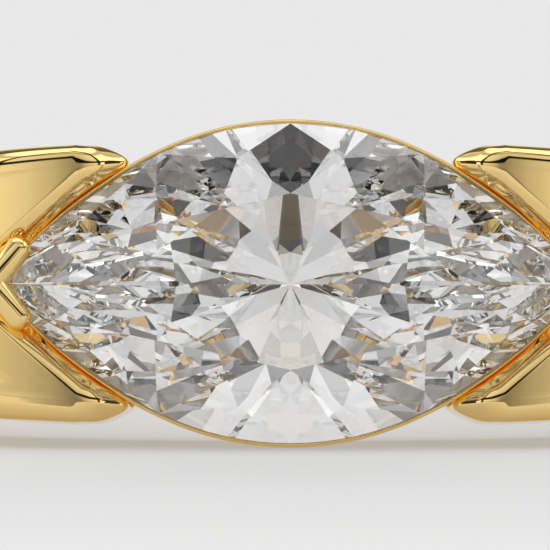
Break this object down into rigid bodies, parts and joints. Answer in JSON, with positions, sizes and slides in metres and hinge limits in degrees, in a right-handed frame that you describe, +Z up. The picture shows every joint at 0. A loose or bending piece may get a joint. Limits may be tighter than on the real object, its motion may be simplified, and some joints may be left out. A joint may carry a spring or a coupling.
{
  "type": "east west marquise ring",
  "caption": "Broad polished gold band that forks around a marquise brilliant set along the finger's width, held by a thin rim and V-shaped prongs.",
  "frame": {"origin": "centre of the finger bore, midway along its axis at the head's own middle plane", "axes": "-Y from the bore out through the head and the stone's table, +X along the stone's long axis, +Z up from the surface that the ring lies on; the bore's axis leans a few degrees from +Z, as the ring rests on its rim and on the back of its band"},
  "size_m": [0.0218, 0.0226, 0.0062],
  "materials": {
    "gold": "mirror polished yellow gold",
    "crystal": "clear faceted brilliant"
  },
  "bodies": {
    "root": {"gold_ring": "gold", "marquise_stone": "crystal"}
  },
  "joints": []
}
